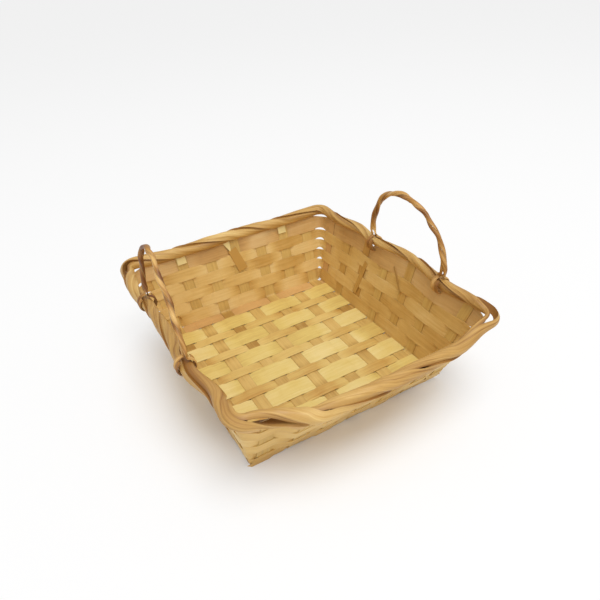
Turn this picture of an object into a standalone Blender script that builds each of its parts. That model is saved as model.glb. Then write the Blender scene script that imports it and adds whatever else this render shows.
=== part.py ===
"""Berry basket woven from flat bamboo splints, every splint and strand its own solid.

X runs from the left wall to the right wall, Y from the front to the back and Z up.
The origin lies at the middle of the underside. Lengths are in metres.
"""

import bpy
import bmesh
from math import atan2, cos, hypot, pi, sin, sqrt, tan
from mathutils import Vector

# Splints, the gap kept between pieces that touch, and the margin beside a crossing
splint_thickness = 0.0007
clearance = 0.0003
tuck_margin = 0.0008

# Floor: splints from front to back, narrow splints across, wide slats between those
column_count = 7
column_width = 0.011
column_pitch = 0.0266
row_count = 7
row_width = 0.0098
row_pitch = 0.0294
slat_gap = 0.0004
slat_overhang = 0.0014

# Walls: each side leans out, and the standing ends spread a little towards the border
fold_margin = 0.0034
fold_radius = 0.0025
side_flare = 0.0195
end_flare = 0.0225
fan_share = 0.35
corner_share = 0.6
weaver_count = 6
weaver_gap = 0.00045
weave_start = 0.0018

# Front wall: it has sagged outwards, less at its right corner and not at its left one, which
# is pulled in. The shares are of half the floor's width or length, from its middle.
sag_reach = 0.0155
sag_drop = 0.007
left_sag_shares = (-1.07, -0.51)
right_sag_shares = (0.65, 1.1)
right_corner_share = 0.5
side_sag_shares = (0.64, 0.9)
corner_pull = 0.007
front_pull_shares = (0.3, 0.95)
side_pull_shares = (0.52, 0.85)

# Border: two strands laid round each other, its axis at the height of the rim
border_height = 0.072
border_radius = 0.0066
stake_tail = 0.0035

# Handles: two strands twisted together, each wrapped round the border at both feet
wrap_clearance = 0.0005
wrap_thickness = 0.0011
wrap_half_width = 0.0019
wrap_gap = 0.0004
wrap_reach = 230 * pi / 180
foot_fillet = 0.0035
handle_height = 0.0605
handle_bulge = 0.003
handle_squareness = 2.3
handle_slackness = 1.55
strand_radius = 0.0027
handle_half_turns = 8
handle_bays = 3
right_handle_shift = 0.0084
right_handle_narrowing = 0.0022
right_handle_skew = 0.005
right_handle_lean = 0
left_handle_skew = 0.016
left_handle_lean = 6 * pi / 180

# Levels and half sizes that follow from the values above
layer_step = splint_thickness + clearance
low_level = splint_thickness / 2
floor_level = low_level + layer_step
base_half_x = (column_count - 1) / 2 * column_pitch + column_width / 2 + fold_margin
base_half_y = (row_count - 1) / 2 * row_pitch + row_width / 2 + fold_margin
wall_rise = border_height - floor_level
slat_width = row_pitch - row_width - 2 * slat_gap
wrap_inner = border_radius + wrap_clearance
side_slope = hypot(side_flare, wall_rise)
border_room = wrap_inner + wrap_thickness + clearance
weaver_pitch = (side_slope - border_room - weave_start) / weaver_count
weaver_width = weaver_pitch - weaver_gap
rim_half_x = base_half_x + side_flare
rim_row_pitch = row_pitch * (1 + fan_share * end_flare / base_half_y)
handle_half_span = handle_bays / 2 * rim_row_pitch
short_tail = -border_room

# Steps of the curves, and the angle above which an edge of a round piece stays sharp
fold_steps = 3
corner_steps = 5
border_sides = 5
border_steps = 12
wrap_steps = 12
fillet_steps = 3
arch_steps = 5
arch_samples = 400
strand_sides = 5
twist_steps = 3.5
sharp_angle = 45 * pi / 180

up = Vector((0, 0, 1))
centring = Vector((0, sag_reach / 2, 0))


def bamboo(name, colour, roughness):
    """A plain bamboo finish with its own colour."""
    material = bpy.data.materials.new(name)
    material.use_nodes = True
    shader = material.node_tree.nodes["Principled BSDF"]
    shader.inputs["Base Color"].default_value = (*colour, 1)
    shader.inputs["Roughness"].default_value = roughness
    shader.inputs["Metallic"].default_value = 0
    return material


def sweep(name, sections, closed, material, outward=None, pivot=None, smooth=False):
    """Joins cross-sections that all have the same number of corners into one solid."""
    pivot = pivot or Vector()
    work = bmesh.new()
    rings = [[work.verts.new(point - pivot) for point in section] for section in sections]
    last = len(rings) if closed else len(rings) - 1
    for index in range(last):
        first = rings[index]
        second = rings[(index + 1) % len(rings)]
        away = outward[index] if outward else None
        join_rings(work, first, second, away)
    if not closed:
        work.faces.new(rings[0])
        work.faces.new(rings[-1])
    bmesh.ops.recalc_face_normals(work, faces=work.faces)
    mesh = bpy.data.meshes.new(name)
    work.to_mesh(mesh)
    work.free()
    if smooth:
        mesh.shade_smooth()
        mesh.set_sharp_from_angle(angle=sharp_angle)
    mesh.materials.append(material)
    piece = bpy.data.objects.new(name, mesh)
    piece.location = pivot + centring
    bpy.context.scene.collection.objects.link(piece)
    return piece


def join_rings(work, first, second, away):
    """Quads between two sections, or triangles split so that they bulge away from the partner."""
    count = len(first)
    for corner in range(count):
        after = (corner + 1) % count
        a, b = first[corner], first[after]
        c, d = second[after], second[corner]
        if away is None:
            work.faces.new((a, b, c, d))
        elif (a.co + c.co).dot(away) > (b.co + d.co).dot(away):
            work.faces.new((a, b, c))
            work.faces.new((a, c, d))
        else:
            work.faces.new((a, b, d))
            work.faces.new((b, c, d))


def eased(way):
    """A way from 0 to 1 that starts and ends gently, and stays level beyond both."""
    way = min(max(way, 0), 1)
    return way ** 2 * (3 - 2 * way)


def between(shares, place):
    """How far a place has come from the first of two shares to the second."""
    return eased((place - shares[0]) / (shares[1] - shares[0]))


def held_flat(place, count, pitch, width):
    """A place along a wall, where the whole width of a standing end counts as its middle."""
    half_pitch = pitch / 2
    hold = width / 2 + tuck_margin
    last = (count - 1) / 2
    middle = (min(max(round(place / pitch + last), 0), 2 * last) - last) * pitch
    beyond = max(abs(place - middle) - hold, 0) * half_pitch / (half_pitch - hold)
    return middle + (beyond if place > middle else -beyond)


def sagged(point):
    """Where a point of the straight basket lies once the front wall has sagged outwards."""
    share = max(0, (point.z - floor_level) / wall_rise)
    across = held_flat(point.x / (1 + fan_share * share * side_flare / base_half_x),
                       column_count, column_pitch, column_width) / base_half_x
    along = held_flat(point.y / (1 + fan_share * share * end_flare / base_half_y),
                      row_count, row_pitch, row_width) / base_half_y
    right = between(right_sag_shares, across)
    front = between(left_sag_shares, across) * between(side_sag_shares, -along) * share
    reach = sag_reach * (1 - (1 - right_corner_share) * right)
    drop = sag_drop * (1 - right)
    corner = between(front_pull_shares, -across) * between(side_pull_shares, -along) * share
    return point - Vector((0, reach, drop)) * front + Vector((corner_pull * corner, 0, 0))


def sagged_frame(point, along, slope):
    """A point of the wall once it has sagged, with its run, its face and its slope."""
    moved = sagged(point)
    step = column_width / 2 + tuck_margin
    along = (sagged(point + along * step) - sagged(point - along * step)).normalized()
    slope = sagged(point + slope * clearance) - moved
    face = along.cross(slope).normalized()
    return moved, along, face, face.cross(along)


def flat_section(centre, along, normal, width):
    """The four corners of a flat splint's cross-section."""
    side = normal.cross(along).normalized() * (width / 2)
    thick = normal.normalized() * (splint_thickness / 2)
    corners = (centre - side - thick, centre + side - thick, centre + side + thick,
               centre - side + thick)
    return [sagged(corner) for corner in corners]


def flat_splint(name, path, normals, width, closed, material):
    """A flat splint along a path of points, with the direction of its face at each one."""
    count = len(path)
    sections = []
    for index in range(count):
        before = path[index - 1] if closed or index else path[0]
        after = path[(index + 1) % count] if closed or index < count - 1 else path[-1]
        sections.append(flat_section(path[index], after - before, normals[index], width))
    return sweep(name, sections, closed, material)


# Floor and standing ends


def standing_half(level, half, flare, place, base_half_along, flare_along, tail):
    """Half of a splint that runs out over the floor, folds up and stands in the wall.

    It gives reach, along and height for each point, with the face's normal in reach and
    height, from the fold to the end, which lies a tail's length above the border's axis.
    """
    bend = atan2(wall_rise, flare)
    corner = half + (level - floor_level) * flare / wall_rise
    start = corner - fold_radius * tan(bend / 2)
    points = []
    for step in range(fold_steps + 1):
        turn = bend * step / fold_steps
        reach = start + fold_radius * sin(turn)
        height = level + fold_radius * (1 - cos(turn))
        points.append((reach, height, (sin(turn), -cos(turn))))
    slope = hypot(flare, wall_rise)
    top = 1 + tail / slope
    points.append((half + flare * top, floor_level + wall_rise * top, (sin(bend), -cos(bend))))
    half_path = []
    for reach, height, normal in points:
        share = max(0, (height - floor_level) / wall_rise)
        along = place * (1 + fan_share * share * flare_along / base_half_along)
        half_path.append((reach, along, height, normal))
    return half_path


def column_splint(number, place, material):
    """A splint from front to back: flat in the floor, both ends folded up into the walls."""
    tail = short_tail if number % 2 else stake_tail
    half_path = standing_half(floor_level, base_half_y, end_flare, place, base_half_x,
                              side_flare, tail)
    path = []
    normals = []
    for reach, along, height, normal in reversed(half_path):
        path.append(Vector((along, -reach, height)))
        normals.append(Vector((0, -normal[0], normal[1])))
    for reach, along, height, normal in half_path:
        path.append(Vector((along, reach, height)))
        normals.append(Vector((0, normal[0], normal[1])))
    return flat_splint(f"front_back_splint_{number}", path, normals, column_width, False, material)


def floor_wave(first_over):
    """The weave of a splint across the floor: two points at each column it crosses."""
    reach = column_width / 2 + tuck_margin
    points = []
    for column in range(column_count):
        centre = (column - (column_count - 1) / 2) * column_pitch
        over = (column % 2 == 0) == first_over
        height = floor_level + layer_step if over else low_level
        points.append((centre - reach, height))
        points.append((centre + reach, height))
    return points


def row_splint(number, place, material):
    """A narrow splint across the floor: under the outer columns, its ends folded up."""
    tail = stake_tail if number % 2 else short_tail
    half_path = standing_half(low_level, base_half_x, side_flare, place, base_half_y,
                              end_flare, tail)
    path = []
    normals = []
    for reach, along, height, normal in reversed(half_path):
        path.append(Vector((-reach, along, height)))
        normals.append(Vector((-normal[0], 0, normal[1])))
    for across, height in floor_wave(False):
        path.append(Vector((across, place, height)))
        normals.append(-up)
    for reach, along, height, normal in half_path:
        path.append(Vector((reach, along, height)))
        normals.append(Vector((normal[0], 0, normal[1])))
    return flat_splint(f"cross_splint_{number}", path, normals, row_width, False, material)


def floor_slat(number, place, material):
    """A wide slat of the floor: over the outer columns, its ends lying at the side folds."""
    wave = floor_wave(True)
    reach = (column_count - 1) / 2 * column_pitch + column_width / 2 + slat_overhang
    wave[0] = (-reach, wave[0][1])
    wave[-1] = (reach, wave[-1][1])
    path = [Vector((across, place, height)) for across, height in wave]
    normals = [-up] * len(path)
    return flat_splint(f"floor_slat_{number}", path, normals, slat_width, False, material)


# Walls and border, which run round the basket

wall_out = [Vector((1, 0, 0)), Vector((0, 1, 0)), Vector((-1, 0, 0)), Vector((0, -1, 0))]


def wall_sizes(side, share):
    """Reach of a wall and half its run at a share of the wall's height."""
    half_x = base_half_x + side_flare * share
    half_y = base_half_y + end_flare * share
    return (half_x, half_y) if side % 2 == 0 else (half_y, half_x)


def wall_flare(side):
    """How far a wall leans out between the floor and the border."""
    return side_flare if side % 2 == 0 else end_flare


def wall_stakes(side, share):
    """Places of the standing ends along one wall, and half their width."""
    if side % 2 == 0:
        count, pitch, width = row_count, row_pitch, row_width
        spread = 1 + fan_share * share * end_flare / base_half_y
    else:
        count, pitch, width = column_count, column_pitch, column_width
        spread = 1 + fan_share * share * side_flare / base_half_x
    return [(index - (count - 1) / 2) * pitch * spread for index in range(count)], width / 2


def corner_radius(share):
    """Radius of the basket's corners, which leaves the outermost standing ends on flat wall."""
    rooms = []
    for side in range(2):
        places, half_width = wall_stakes(side, share)
        rooms.append(wall_sizes(side, share)[1] - places[-1] - half_width)
    return (min(rooms) - tuck_margin) * corner_share


def wall_frame(point, along, radial, flare):
    """A point of the wall with its direction along the ring, its face and its slope."""
    slope = radial * flare + up * wall_rise
    face = along.cross(slope).normalized()
    return point, along, face, face.cross(along)


def ring_at(share, run):
    """The place on the ring at a share of the wall's height, after a run along it."""
    radius = corner_radius(share)
    height = floor_level + wall_rise * share
    arc = radius * pi / 2
    side = 0
    reach, half_along = wall_sizes(side, share)
    while run > 2 * (half_along - radius) + arc:
        run -= 2 * (half_along - radius) + arc
        side = (side + 1) % 4
        reach, half_along = wall_sizes(side, share)
    out = wall_out[side]
    along = wall_out[(side + 1) % 4]
    straight = 2 * (half_along - radius)
    if run <= straight:
        point = out * reach + along * (run - straight / 2) + up * height
        return wall_frame(point, along, out, wall_flare(side))
    angle = (run - straight) / radius
    radial = out * cos(angle) + along * sin(angle)
    tangent = along * cos(angle) - out * sin(angle)
    centre = out * (reach - radius) + along * (half_along - radius) + up * height
    flare = wall_flare(side) * cos(angle) ** 2 + wall_flare(side + 1) * sin(angle) ** 2
    return wall_frame(centre + radial * radius, tangent, radial, flare)


def stake_runs(share):
    """Where each standing end begins and ends along the ring, corner by corner."""
    radius = corner_radius(share)
    start = 0
    runs = []
    for side in range(4):
        reach, half_along = wall_sizes(side, share)
        places, half_width = wall_stakes(side, share)
        middle = start + half_along - radius
        for place in places:
            runs.append((middle + place - half_width, middle + place + half_width))
        start += 2 * (half_along - radius) + radius * pi / 2
    return runs, start


def ring_runs(share, spacing, steps_after):
    """Stations of a piece that runs round: two at an end that it passes, and steps between.

    Each station is its run, the number of the end it follows and how far it is to the next.
    The spacing counts the standing ends from one that it passes to the next.
    """
    runs, total = stake_runs(share)
    passed = runs[::spacing]
    count = len(passed)
    stations = []
    for index, (begin, end) in enumerate(passed):
        following = passed[(index + 1) % count][0] + (total if index == count - 1 else 0)
        steps = steps_after(index)
        stations.append((begin - clearance, index, 0))
        for step in range(steps):
            way = step / steps
            run = end + clearance + (following - end - 2 * clearance) * way
            stations.append((run % total, index, way))
    return stations


def weaver_steps(index):
    """Steps of a weaver after a standing end: it is straight between two and bent at a corner."""
    sides_end = (row_count, row_count + column_count)
    at_corner = (index + 1) % sides_end[1] in (0, sides_end[0])
    return corner_steps if at_corner else 1


def wall_weaver(number, material):
    """A splint woven round the four walls: inside one standing end, outside the next."""
    share = (weave_start + (number - 0.5) * weaver_pitch) / side_slope
    path = []
    normals = []
    for run, index, way in ring_runs(share, 1, weaver_steps):
        point, along, face, slope = ring_at(share, run)
        side = 1 if (index + number) % 2 == 0 else -1
        path.append(point + face * (layer_step * side * (1 - 2 * way)))
        normals.append(face)
    return flat_splint(f"wall_weaver_{number}", path, normals, weaver_width, True, material)


def border_strand(number, material):
    """One of the border's two strands: it changes sides between every second standing end."""
    slot = splint_thickness / 2 + clearance
    edge = atan2(slot, sqrt(border_radius ** 2 - slot ** 2))
    sections = []
    outward = []
    for run, index, way in ring_runs(1, 2, lambda index: border_steps):
        point, along, face, slope = ring_at(1, run)
        point, along, face, slope = sagged_frame(point, along, slope)
        turn = -pi * (index + way + number)
        away = face * cos(turn) + slope * sin(turn)
        across = along.cross(away)
        section = []
        for step in range(border_sides + 1):
            angle = edge + (pi - 2 * edge) * step / border_sides
            section.append(point + across * (border_radius * cos(angle))
                           + away * (border_radius * sin(angle)))
        sections.append(section)
        outward.append(away)
    return sweep(f"border_strand_{number}", sections, True, material, outward, None, True)


# Handles


def foot_angle():
    """Angle round the border at which a strand leaves its wrap."""
    return atan2(foot_rise(), clearance / 2 + foot_fillet)


def foot_rise():
    """Height over the border's axis at which the strands meet."""
    return sqrt((wrap_inner + foot_fillet) ** 2 - (clearance / 2 + foot_fillet) ** 2)


def wrap_path():
    """A strand's way from its tail round the border and up: out, height and face direction."""
    path = []
    leave = foot_angle()
    for step in range(wrap_steps):
        angle = leave - (leave + wrap_reach) * (1 - step / wrap_steps)
        face = (cos(angle), sin(angle))
        path.append((wrap_inner * face[0], wrap_inner * face[1], face))
    for step in range(fillet_steps):
        angle = leave * (1 - step / fillet_steps)
        face = (cos(angle), sin(angle))
        out = clearance / 2 + foot_fillet - foot_fillet * face[0]
        height = foot_rise() - foot_fillet * face[1]
        path.append((out, height, face))
    return path


def arch_points(half_span, skew, front_squareness):
    """The handle's centre line as even steps, from its foot in front to its foot behind."""
    raw = []
    rise = handle_height - foot_rise()
    for sample in range(arch_samples + 1):
        angle = pi * sample / arch_samples
        side = -1 if angle < pi / 2 else 1
        power = 2 / (front_squareness if side < 0 else handle_squareness)
        level = abs(sin(angle)) ** power
        bulge = handle_bulge * sin(pi * sqrt(level))
        along = half_span * abs(cos(angle)) ** power + bulge * abs(cos(angle))
        raw.append(Vector((side * along + skew * level ** 2, 0, foot_rise() + rise * level)))
    lengths = [0]
    for before, after in zip(raw, raw[1:]):
        lengths.append(lengths[-1] + (after - before).length)
    steps = handle_half_turns * arch_steps
    points = []
    place = 0
    for step in range(steps + 1):
        target = lengths[-1] * step / steps
        while place < arch_samples - 1 and lengths[place + 1] < target:
            place += 1
        way = (target - lengths[place]) / (lengths[place + 1] - lengths[place])
        points.append(raw[place].lerp(raw[place + 1], way))
    return points


def strand_section(flat, face, across, half_width, thickness):
    """A half-round strand: flat towards its partner, round on the other side."""
    corners = [flat - across * half_width]
    for step in range(1, strand_sides):
        angle = pi * (1 - step / strand_sides)
        corners.append(flat + across * (half_width * cos(angle)) + face * (thickness * sin(angle)))
    corners.append(flat + across * half_width)
    return corners


def handle_strand(name, strand, side, centre, half_span, skew, squareness, lean, material):
    """One strand of a handle: wrapped round the border, twisted with its partner, wrapped again."""
    arch = arch_points(half_span, skew, squareness)
    wrap = wrap_path()
    hand = strand * side
    offset = (wrap_half_width + wrap_gap / 2) * -hand
    pieces = []
    for out, height, face in wrap:
        flat = Vector((-half_span + offset, out * strand, height))
        direction = Vector((0, face[0] * strand, face[1]))
        pieces.append((flat, direction, Vector((1, 0, 0)), 0))
    steps = len(arch) - 1
    for step, point in enumerate(arch):
        before = arch[max(step - 1, 0)]
        after = arch[min(step + 1, steps)]
        along = (after - before).normalized()
        turn = pi * handle_half_turns * step / steps * side
        inward = along.cross(Vector((0, 1, 0)))
        face = (Vector((0, cos(turn), 0)) + inward * sin(turn)) * strand
        blend = eased(min(step, steps - step) / twist_steps)
        flat = point + face * (clearance / 2) + Vector((offset * (1 - blend), 0, 0))
        pieces.append((flat, face, face.cross(along), blend))
    for out, height, face in reversed(wrap):
        flat = Vector((half_span + offset, out * strand, height))
        direction = Vector((0, face[0] * strand, face[1]))
        pieces.append((flat, direction, Vector((-1, 0, 0)), 0))
    sections = []
    outward = []
    for flat, face, across, blend in pieces:
        half_width = wrap_half_width + (strand_radius - wrap_half_width) * blend
        thickness = wrap_thickness + (strand_radius - clearance / 2 - wrap_thickness) * blend
        if strand > 0:
            across = -across
        section = strand_section(flat, face, across, half_width, thickness)
        sections.append([placed(point, side, centre, lean) for point in section])
        outward.append(placed(flat + face, side, centre, lean) - placed(flat, side, centre, lean))
    pivot = Vector((side * rim_half_x, centre, border_height))
    return sweep(name, sections, False, material, outward, pivot, True)


def placed(point, side, centre, lean):
    """Puts a point of an upright handle on its own side of the basket, leaning inwards."""
    out = point.y * cos(lean) - point.z * sin(lean)
    height = point.y * sin(lean) + point.z * cos(lean)
    return Vector((side * (rim_half_x + out), centre + point.x, border_height + height))


# The whole basket


def clear_scene():
    """Takes away everything a new scene starts with."""
    for piece in list(bpy.data.objects):
        bpy.data.objects.remove(piece)


def build_floor():
    """The splints and slats of the floor, those from front to back laid first."""
    ochre = bamboo("front_back_bamboo", (0.56, 0.34, 0.08), 0.5)
    tan_splint = bamboo("cross_bamboo", (0.60, 0.38, 0.12), 0.5)
    straw = bamboo("slat_bamboo", (0.70, 0.49, 0.17), 0.45)
    for index in range(column_count):
        place = (index - (column_count - 1) / 2) * column_pitch
        column_splint(index + 1, place, ochre)
    for index in range(row_count):
        place = (index - (row_count - 1) / 2) * row_pitch
        row_splint(index + 1, place, tan_splint)
    for index in range(row_count - 1):
        place = (index + 0.5 - (row_count - 1) / 2) * row_pitch
        floor_slat(index + 1, place, straw)


def build_walls():
    """The weavers from the floor up and the border over them."""
    weaver_bamboo = bamboo("weaver_bamboo", (0.60, 0.37, 0.11), 0.5)
    border_bamboo = bamboo("border_bamboo", (0.64, 0.38, 0.12), 0.5)
    for index in range(weaver_count):
        wall_weaver(index + 1, weaver_bamboo)
    for index in range(2):
        border_strand(index + 1, border_bamboo)


def build_handles():
    """Two strands for each handle, on the right border and on the left one."""
    handle_bamboo = bamboo("handle_bamboo", (0.42, 0.22, 0.06), 0.5)
    right_centre = right_handle_shift - rim_row_pitch
    right_half_span = handle_half_span - right_handle_narrowing
    for index, strand in enumerate((1, -1)):
        handle_strand(f"right_handle_strand_{index + 1}", strand, 1, right_centre,
                      right_half_span, right_handle_skew, handle_squareness, right_handle_lean,
                      handle_bamboo)
        handle_strand(f"left_handle_strand_{index + 1}", strand, -1, 0,
                      handle_half_span, left_handle_skew, handle_slackness, left_handle_lean,
                      handle_bamboo)


clear_scene()
build_floor()
build_walls()
build_handles()
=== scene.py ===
"""A low berry basket woven from flat bamboo splints, with a twisted border and two swinging
handles. Every splint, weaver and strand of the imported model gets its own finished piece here,
laid where the model says. Lengths are in metres.
"""

import random
from math import atan2, cos, exp, floor, hypot, pi, sin, sqrt, tan

import bpy
from mathutils import Matrix, Vector


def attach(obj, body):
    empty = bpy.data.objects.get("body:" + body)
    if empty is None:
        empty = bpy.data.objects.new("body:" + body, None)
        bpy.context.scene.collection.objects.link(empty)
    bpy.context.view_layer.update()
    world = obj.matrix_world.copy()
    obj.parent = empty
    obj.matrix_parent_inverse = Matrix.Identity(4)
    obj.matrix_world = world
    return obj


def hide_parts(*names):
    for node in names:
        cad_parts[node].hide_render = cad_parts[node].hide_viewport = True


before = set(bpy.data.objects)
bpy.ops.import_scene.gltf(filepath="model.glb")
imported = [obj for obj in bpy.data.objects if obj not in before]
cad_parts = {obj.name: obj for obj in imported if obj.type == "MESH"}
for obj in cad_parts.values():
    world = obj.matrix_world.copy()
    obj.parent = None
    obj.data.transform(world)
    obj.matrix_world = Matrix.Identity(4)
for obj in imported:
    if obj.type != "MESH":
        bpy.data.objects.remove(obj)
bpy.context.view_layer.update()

# The view: a camera in front of the basket's left corner, well over its rim, with the slight
# roll of a picture taken by hand.

up = Vector((0, 0, 1))
camera_place = Vector((-0.16513, -0.32989, 0.31159))
camera_azimuth = -27.613 * pi / 180
camera_elevation = 34.003 * pi / 180
camera_roll = -3.926 * pi / 180
camera_lens = 31.316
film_width = 36
nearest_seen = 0.01

camera = bpy.data.objects.new("camera", bpy.data.cameras.new("camera"))
bpy.context.scene.collection.objects.link(camera)
back = Vector((sin(camera_azimuth) * cos(camera_elevation),
               -cos(camera_azimuth) * cos(camera_elevation), sin(camera_elevation)))
level = up.cross(back).normalized()
upright = back.cross(level)
right = level * cos(camera_roll) + upright * sin(camera_roll)
top = upright * cos(camera_roll) - level * sin(camera_roll)
turned = Matrix((right, top, back)).transposed().to_4x4()
camera.matrix_world = Matrix.Translation(camera_place) @ turned
camera.data.lens = camera_lens
camera.data.sensor_width = film_width
camera.data.clip_start = nearest_seen
bpy.context.scene.camera = camera
bpy.context.scene.view_settings.view_transform = "Standard"

# The table and the light: a white sheet that keeps the basket's shadow, a soft lamp high over
# its front, a weaker one further off in front and pale light all round.

sheet_white = (0.9, 0.9, 0.9, 1)
sheet_size = 24
sheet_drop = 0.0002
sheet_lift = 0.72
sheet_shade_start = 0.1
sheet_shade_end = 0.17
room_white = (1, 1, 1, 1)
room_light = 0.62

# Each lamp's place, its width and its power in watts.
lamps = {
    "window_lamp": (Vector((0.1, -0.35, 1.6)), 0.9, 13.2),
    "front_lamp": (Vector((-0.3, -1.3, 0.8)), 1.1, 3.0),
}


def deselect_all():
    """Leaves no object selected, so that an operator only acts on what it is given."""
    if bpy.context.mode != "OBJECT":
        bpy.ops.object.mode_set(mode="OBJECT")
    bpy.ops.object.select_all(action="DESELECT")


def plug_in(tree, node, inputs):
    """Links or sets a node's inputs."""
    for key, value in inputs.items():
        if isinstance(value, bpy.types.NodeSocket):
            tree.links.new(value, node.inputs[key])
        else:
            node.inputs[key].default_value = value


def linked(tree, kind, inputs, **settings):
    """A new node with its settings, and its inputs linked or set."""
    node = tree.nodes.new(kind)
    for key, value in settings.items():
        setattr(node, key, value)
    plug_in(tree, node, inputs)
    return node


def maths(tree, operation, *values, clamp=False):
    """The result of one sum on its values."""
    node = linked(tree, "ShaderNodeMath", dict(enumerate(values)), operation=operation,
                  use_clamp=clamp)
    return node.outputs[0]


def ranged(tree, value, start, end, low, high):
    """A value between a start and an end, turned into one between low and high."""
    return linked(tree, "ShaderNodeMapRange", {"Value": value, "From Min": start, "From Max": end,
                  "To Min": low, "To Max": high}).outputs["Result"]


def white_for_the_camera(material):
    """A white surface that takes shadows, lifted towards white where the camera sees it."""
    material.use_nodes = True
    tree = material.node_tree
    tree.nodes.clear()
    plain = linked(tree, "ShaderNodeBsdfDiffuse", {"Color": sheet_white})
    glow = linked(tree, "ShaderNodeEmission", {"Strength": 1})
    place = linked(tree, "ShaderNodeTexCoord", {}).outputs["Object"]
    apart = linked(tree, "ShaderNodeVectorMath", {0: place}, operation="LENGTH").outputs["Value"]
    lift = ranged(tree, apart, sheet_shade_start, sheet_shade_end, 0, sheet_lift)
    seen = linked(tree, "ShaderNodeLightPath", {}).outputs["Is Camera Ray"]
    mixed = linked(tree, "ShaderNodeMixShader", {0: maths(tree, "MULTIPLY", seen, lift),
                   1: plain.outputs[0], 2: glow.outputs[0]})
    linked(tree, "ShaderNodeOutputMaterial", {"Surface": mixed.outputs[0]})


deselect_all()
bpy.ops.mesh.primitive_plane_add(size=sheet_size, location=(0, 0, -sheet_drop))
sheet = bpy.context.object
sheet.name = "white_sheet"
sheet.data.materials.append(bpy.data.materials.new("sheet_white"))
white_for_the_camera(sheet.data.materials[0])

world = bpy.data.worlds.new("pale_room")
world.use_nodes = True
room = world.node_tree
seen = linked(room, "ShaderNodeLightPath", {}).outputs["Is Camera Ray"]
plug_in(room, room.nodes["Background"],
        {"Color": room_white, "Strength": ranged(room, seen, 0, 1, room_light, 1)})
bpy.context.scene.world = world

for name, (place, size, power) in lamps.items():
    lamp = bpy.data.lights.new(name, "AREA")
    lamp.size = size
    lamp.energy = power
    holder = bpy.data.objects.new(name, lamp)
    bpy.context.scene.collection.objects.link(holder)
    holder.location = place
    holder.rotation_euler = place.to_track_quat("Z", "Y").to_euler()

# The splints from front to back: seven flat bamboo splints, split from the cane and shaved
# thin. They lie straight in the floor, and both ends are folded up and stand in the walls.

shaved_thickness = 0.00048
layer_step = 0.00063
clearance = 0.0003
tuck_margin = 0.0008
column_count = 7
column_width = 0.011
column_pitch = 0.0266
row_count = 7
row_width = 0.0098
row_pitch = 0.0294
fold_margin = 0.0034
fold_radius = 0.0025
fold_steps = 6
wall_steps = 14
floor_stations = 96
side_flare = 0.0195
end_flare = 0.0225
fan_share = 0.35
border_height = 0.072
low_level = shaved_thickness / 2
floor_level = low_level + layer_step
base_half_x = (column_count - 1) / 2 * column_pitch + column_width / 2 + fold_margin
base_half_y = (row_count - 1) / 2 * row_pitch + row_width / 2 + fold_margin
rim_half_x = base_half_x + side_flare
rim_half_y = base_half_y + end_flare
wall_rise = border_height - floor_level
stake_tip = 0.002
short_tip = -0.0065
splint_crown = 0.0001
splint_lip = 0.0008
widest_lip = 0.4
middle_share = 0.4
# How strongly the edge line of painted shade and wear shows along each long edge of a splint: fully
# along one and weaker along the other, as shade lines fall.
shaded_edge_shares = (1, 0.35)
edge_round = 0.0001
edge_angle = 50 * pi / 180
smooth_angle = 40 * pi / 180
weld_distance = 0.000002
wander = 0.00015
wander_waves = 3
wander_parts = 3
slowest_wave = 0.5
splint_variety = 0.25
patch_shades = (0.1, 0.3, 0.9)

# The walls are counted from the right one to the back, left and front ones. Of each pair here
# the first goes with the right and left walls, and the second with the back and front ones.
wall_out = [Vector((1, 0, 0)), Vector((0, 1, 0)), Vector((-1, 0, 0)), Vector((0, -1, 0))]
wall_reach = (base_half_x, base_half_y)
wall_flare = (side_flare, end_flare)
wall_stakes = ((row_count, row_pitch, row_width), (column_count, column_pitch, column_width))

# The front wall has sagged outwards between its corners and the front-left corner is drawn
# in. The shares are of half the floor's width or length, from its middle.
sag_reach = 0.0155
sag_drop = 0.007
left_sag_shares = (-1.07, -0.51)
right_sag_shares = (0.65, 1.1)
right_corner_share = 0.5
side_sag_shares = (0.64, 0.9)
corner_pull = 0.007
front_pull_shares = (0.3, 0.95)
side_pull_shares = (0.52, 0.85)
centring = Vector((0, sag_reach / 2, 0))

# Where use has pulled the rim a little further: the place on the rim, how far it is drawn to
# the right, how far it is lifted, and over what distance the pull fades.
pulls = [
    (Vector((rim_half_x, -rim_half_y)), 0.003, 0, 0.022),
    (Vector((rim_half_x, -0.096)), 0.0008, 0.002, 0.014),
    (Vector((rim_half_x, -0.032)), 0.003, 0.0052, 0.04),
    (Vector((rim_half_x, 0.052)), 0.0022, 0.0036, 0.024),
    (Vector((-rim_half_x, 0.075)), -0.0035, 0, 0.026),
]
pull_power = 1.4

# Each strip takes its grain from its own place, up to this far along the cane and across it.
grain_run = 3
grain_side = 1

# The maker's hand: the one seeded source of what differs by chance from strip to strip.
maker = random.Random(21)


def eased(way):
    """A way from 0 to 1 that starts and ends gently, and stays level beyond both."""
    way = min(max(way, 0), 1)
    return way * way * (3 - 2 * way)


def between(shares, place):
    """How far a place has come from the first of two shares to the second."""
    return eased((place - shares[0]) / (shares[1] - shares[0]))


def fanned(side, share):
    """How far apart a wall's standing ends are at a share of its height, for 1 at the floor."""
    along = (side + 1) % 2
    return 1 + fan_share * share * wall_flare[along] / wall_reach[along]


def held_flat(place, count, pitch, width):
    """A place along a wall, where the whole width of a standing end counts as its middle."""
    half_pitch = pitch / 2
    hold = width / 2 + tuck_margin
    last = (count - 1) / 2
    middle = (min(max(round(place / pitch + last), 0), 2 * last) - last) * pitch
    beyond = max(abs(place - middle) - hold, 0) * half_pitch / (half_pitch - hold)
    return middle + (beyond if place > middle else -beyond)


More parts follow.
